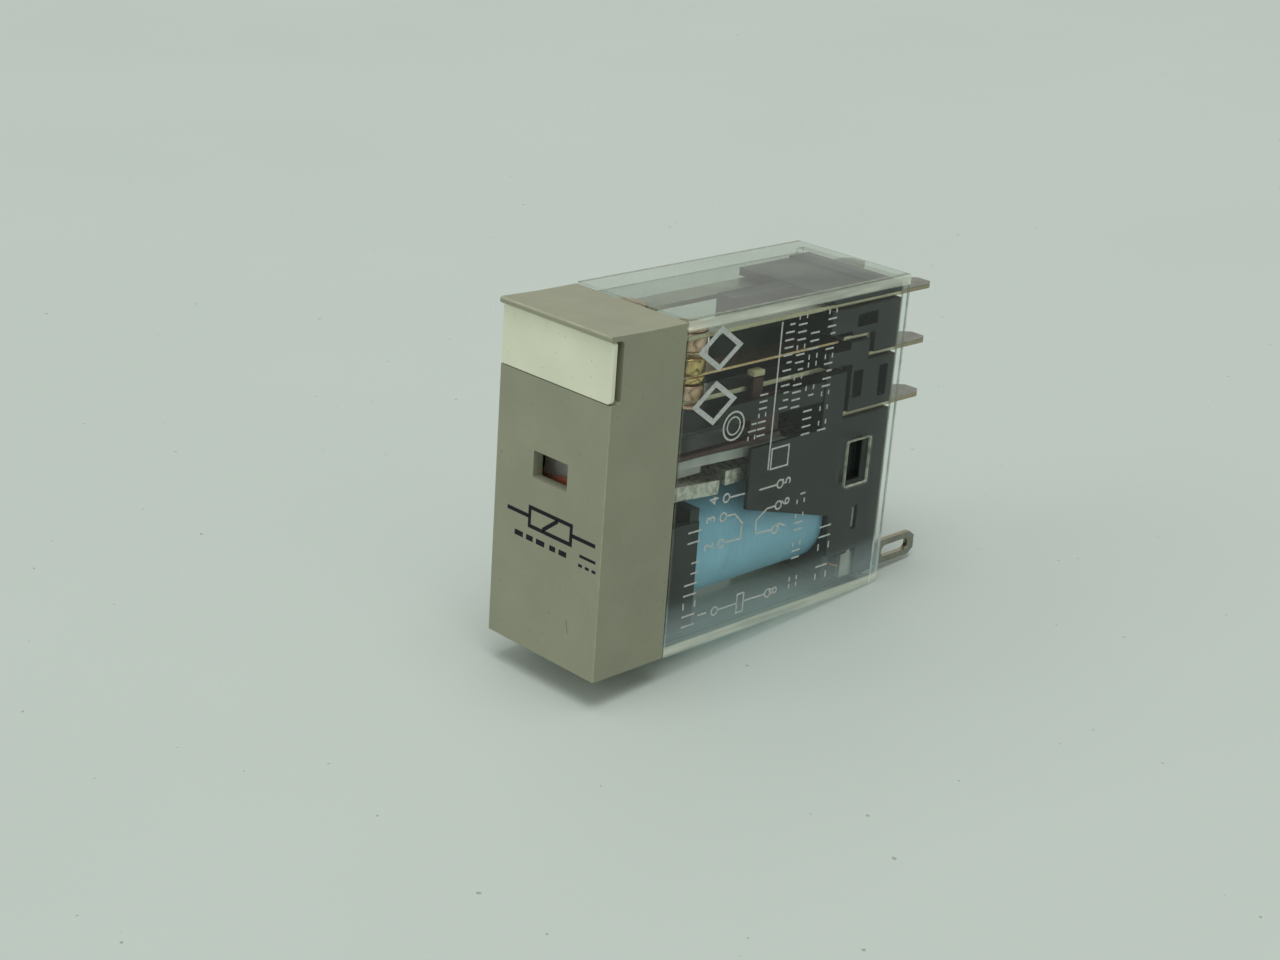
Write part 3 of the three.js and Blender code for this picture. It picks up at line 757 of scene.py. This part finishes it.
class Print:
    """Flat ink shapes collected on one face, then thickened into one closed mesh."""

    def __init__(self, to_space):
        self.to_space = to_space
        self.verts = []
        self.faces = []

    def polygon(self, points):
        first = len(self.verts)
        count = len(points)
        for lift in (PRINT_LIFT - PRINT_THICK, PRINT_LIFT):
            self.verts += [self.to_space(p[0], p[1], lift) for p in points]
        self.faces.append(tuple(first + i for i in range(count)))
        self.faces.append(tuple(first + count + i for i in reversed(range(count))))
        for i in range(count):
            j = (i + 1) % count
            self.faces.append((first + i, first + count + i, first + count + j, first + j))

    def path(self, points, width, closed=False):
        """A stroke of even width with mitred corners."""
        spots = [Vector(p) for p in points]
        count = len(spots)
        left, right = [], []
        for i, spot in enumerate(spots):
            before = spots[i - 1] if i > 0 or closed else spot
            after = spots[(i + 1) % count] if i < count - 1 or closed else spot
            first = (spot - before).normalized() if before != spot else (after - spot).normalized()
            second = (after - spot).normalized() if after != spot else first
            normal = Vector((-first.y - second.y, first.x + second.x)).normalized()
            reach = width / 2 / max(0.35, normal.dot(Vector((-first.y, first.x))))
            left.append(spot + normal * reach)
            right.append(spot - normal * reach)
        for i in range(count if closed else count - 1):
            j = (i + 1) % count
            self.polygon([right[i], right[j], left[j], left[i]])

    def bar(self, start, end, width):
        self.path([start, end], width)

    def ring(self, centre, radius, width, count=20):
        middle = Vector(centre)
        inner = radius - width / 2
        outer = radius + width / 2
        for k in range(count):
            a, b = (math.tau * i / count for i in (k, k + 1))
            corners = [(inner, a), (outer, a), (outer, b), (inner, b)]
            self.polygon([middle + Vector((r * math.cos(t), r * math.sin(t))) for r, t in corners])

    def frame(self, low_corner, high_corner, width):
        (a0, b0), (a1, b1) = low_corner, high_corner
        self.path([(a0, b0), (a1, b0), (a1, b1), (a0, b1)], width, closed=True)

    def finish(self, name, look, slot):
        dress(new_object(name, self.verts, self.faces), slot, look=look)


def greeked_row(marks, rng, y, start, end, height):
    """A row of ticks and dashes with the density of small print, read upwards. It spells nothing."""
    pen = 0.15
    cell = height * 0.46
    z = start
    while z < end - cell:
        kind = rng.randrange(8)
        top, foot = y - height / 2, y + height / 2
        if kind in (0, 1, 2, 3):
            marks.bar((top, z + cell / 2), (foot, z + cell / 2), pen)
        elif kind in (4, 5):
            marks.bar((top + pen / 2, z + 0.04), (top + pen / 2, z + cell - 0.04), pen)
            marks.bar((foot - pen / 2, z + 0.04), (foot - pen / 2, z + cell - 0.04), pen)
        elif kind == 6:
            marks.bar((y - 0.1, z + cell / 2), (foot, z + cell / 2), pen)
        z += cell + height * 0.16


def side_marks():
    """White marks on the cover's right side: plain rules, rows of ticks and a contact diagram."""
    marks = Print(lambda y, z, lift: place(HALF + lift, y, z))
    rng = random.Random(7)
    # y, lowest z, highest z and letter height of each row
    rows = [
        (16.25, 17.3, 19.4, 0.95), (17.35, 17.3, 21.8, 0.95), (19.85, 19.2, 27.4, 1.05),
        (21.35, 19.0, 27.4, 1.05), (23.0, 16.3, 26.0, 1.1), (25.05, 16.3, 27.2, 1.05),
        (23.3, 2.4, 11.7, 1.05), (26.95, 2.3, 9.4, 1.5), (10.45, 1.9, 12.2, 1.5),
    ]
    for row in rows:
        greeked_row(marks, rng, *row)
    marks.bar((18.7, 14.2), (18.8, 27.0), 0.16)
    # two large plain diamonds, two rings and a frame
    for y, z in ((11.7, 25.9), (11.5, 21.4)):
        marks.path([(y - 2.2, z), (y, z - 1.6), (y + 2.2, z), (y, z + 1.6)], 0.45, closed=True)
    marks.ring((14.0, 19.0), 1.2, 0.17, 28)
    marks.ring((14.0, 19.0), 0.75, 0.13, 24)
    marks.frame((19.0, 14.2), (21.1, 16.0), 0.15)
    # contact diagram: two changeover contacts and the coil
    pen = 0.15
    for path in (
        [(17.86, 12.62), (19.98, 12.62)],
        [(20.03, 10.7), (19.06, 10.7), (17.97, 10.0)],
        [(17.8, 10.0), (17.9, 8.7), (19.87, 8.6)],
        [(16.1, 12.7), (14.3, 12.75)],
        [(14.1, 11.15), (15.1, 11.1), (16.2, 10.0)],
        [(16.05, 9.9), (16.05, 8.7), (14.1, 8.8)],
        [(14.06, 2.75), (16.3, 2.75)],
        [(17.1, 2.75), (19.7, 2.7)],
    ):
        marks.path(path, pen)
    marks.frame((16.3, 1.85), (17.1, 3.55), pen)
    for centre in ((20.42, 12.62), (20.45, 10.7), (20.3, 8.55), (13.9, 12.78), (13.7, 11.15), (13.7, 8.8),
                   (13.6, 2.75), (20.15, 2.7)):
        marks.ring(centre, 0.36, pen)
    marks.finish("side_marks", WHITE_INK, "clear_plastic")


def digit_marks():
    """Plain terminal numbers beside the diagram, read upwards along the side."""
    places = {"5": (21.7, 12.4), "6": (21.8, 10.5), "7": (21.6, 8.4), "4": (12.9, 12.5), "3": (12.7, 10.9),
              "2": (12.7, 8.5), "1": (12.6, 2.5), "8": (21.3, 2.4)}
    for digit, (y, z) in places.items():
        curve = bpy.data.curves.new("digit_" + digit, "FONT")
        curve.body = digit
        curve.size = 1.45 * MM
        curve.extrude = PRINT_THICK / 2 * MM
        curve.offset = BOLDER * MM
        text = bpy.data.objects.new("digit_" + digit, curve)
        SCENE.collection.objects.link(text)
        turn = Matrix((Vector((0, 0, 1)), Vector((0, -1, 0)), Vector((1, 0, 0)))).transposed()
        bpy.context.view_layer.update()
        mesh = bpy.data.meshes.new_from_object(text.evaluated_get(bpy.context.evaluated_depsgraph_get()))
        bpy.data.objects.remove(text)
        mesh.transform(Matrix.Translation(place(HALF + PRINT_LIFT, y, z)) @ turn.to_4x4())
        obj = bpy.data.objects.new("number_" + digit, mesh)
        SCENE.collection.objects.link(obj)
        dress(obj, "clear_plastic", look=WHITE_INK)


def front_marks():
    """Dark marks on the cap: a coil symbol, a row of dashes and the direct-current symbol."""
    marks = Print(lambda x, z, lift: place(x, -lift, z))
    pen = 0.33
    marks.frame((-2.0, 10.75), (2.9, 12.35), pen)
    marks.bar((-0.4, 10.9), (1.3, 12.2), pen)
    marks.bar((-4.7, 11.55), (-2.13, 11.55), pen)
    marks.bar((3.03, 11.55), (5.7, 11.55), pen)
    for x0, x1 in ((-3.7, -2.7), (-2.3, -1.5), (-1.1, -0.1), (0.5, 1.2), (1.6, 2.5)):
        marks.bar((x0, 9.7), (x1, 9.7), 0.45)
    marks.bar((4.0, 10.2), (5.85, 10.2), 0.24)
    for x in (4.15, 4.93, 5.7):
        marks.bar((x - 0.22, 9.4), (x + 0.22, 9.4), 0.24)
    marks.finish("front_marks", DARK_INK, "cap_plastic")


# ---- camera, floor and light --------------------------------------------------------------


def add_camera():
    az, el, roll = (math.radians(a) for a in (CAMERA_AZIMUTH, CAMERA_ELEVATION, CAMERA_ROLL))
    back = Vector((math.sin(az) * math.cos(el), -math.cos(az) * math.cos(el), math.sin(el)))
    right = Vector((math.cos(az), math.sin(az), 0))
    up = back.cross(right)
    aim = Vector((0, 0, TOP / 2)) + right * CAMERA_AIM_RIGHT + up * CAMERA_AIM_UP
    x_axis = right * math.cos(roll) + up * math.sin(roll)
    y_axis = up * math.cos(roll) - right * math.sin(roll)
    turn = Matrix((x_axis, y_axis, back)).transposed()
    data = bpy.data.cameras.new("camera")
    data.lens = CAMERA_LENS
    data.sensor_width = 36.0
    data.clip_start = 0.01
    camera = bpy.data.objects.new("camera", data)
    camera.matrix_world = Matrix.Translation((aim + back * CAMERA_DISTANCE) * MM) @ turn.to_4x4()
    SCENE.collection.objects.link(camera)
    SCENE.camera = camera


def add_area_light(name, spot, size, watts, colour):
    data = bpy.data.lights.new(name, "AREA")
    data.shape = "RECTANGLE"
    data.size, data.size_y = size
    data.energy = watts
    data.color = colour
    light = bpy.data.objects.new(name, data)
    light.location = spot
    light.rotation_euler = (Vector((0, 0, 0.014)) - Vector(spot)).to_track_quat("-Z", "Y").to_euler()
    SCENE.collection.objects.link(light)


def add_world():
    world = bpy.data.worlds.new("studio")
    SCENE.world = world
    world.use_nodes = True
    background = world.node_tree.nodes["Background"]
    background.inputs["Color"].default_value = (*SKY, 1)
    background.inputs["Strength"].default_value = SKY_STRENGTH


def add_floor():
    """Pale paper. The relay rests on its rear edge, so the paper drops a little towards the cap."""
    reach = 4.0
    pivot = place(0, REBATE_Y, 0)
    slope = math.tan(math.radians(FLOOR_TILT))
    corners = [(-reach, -reach), (reach, -reach), (reach, reach), (-reach, reach)]
    floor = new_object("floor", [(x, y, (y - pivot.y) * slope) for x, y in corners], [(0, 1, 2, 3)])
    mat, tree, bsdf = new_material("floor_paper", PAPER, 0.6)
    bsdf.inputs["Specular IOR Level"].default_value = 0.25
    cloud = remap(tree, noise(tree, 60.0, 3.0), 0.3, 0.7, 0, 1)
    paint = mix_colour(tree, cloud, PAPER_DARK, PAPER_LIGHT)
    specks = remap(tree, noise(tree, 0.9, 1.0), 0.80, 0.82, 0.0, 0.6)
    paint = mix_colour(tree, specks, paint, (0.20, 0.22, 0.20))
    tree.links.new(paint, bsdf.inputs["Base Color"])
    add_bump(tree, bsdf, noise(tree, 0.5, 4.0), 0.02, 0.25)
    floor.data.materials.append(mat)


# ---- scene --------------------------------------------------------------------------------

SCENE.view_settings.view_transform = "Standard"
add_camera()
add_world()
add_floor()
add_area_light("key", (0.27, -0.36, 2.1), (1.4, 1.4), 22.3, (1, 1, 0.98))
add_area_light("front_panel", (-0.7, -1.7, 0.7), (1.2, 1.2), 5.0, (1, 1, 0.98))
add_area_light("back_panel", (-1.2, 1.2, 0.75), (1.6, 1.2), 1.6, (0.97, 1, 0.97))
dress_nodes()
cap_piece()
plate_piece()
cover_piece()
snap_rims()
winding_piece()
side_marks()
digit_marks()
front_marks()
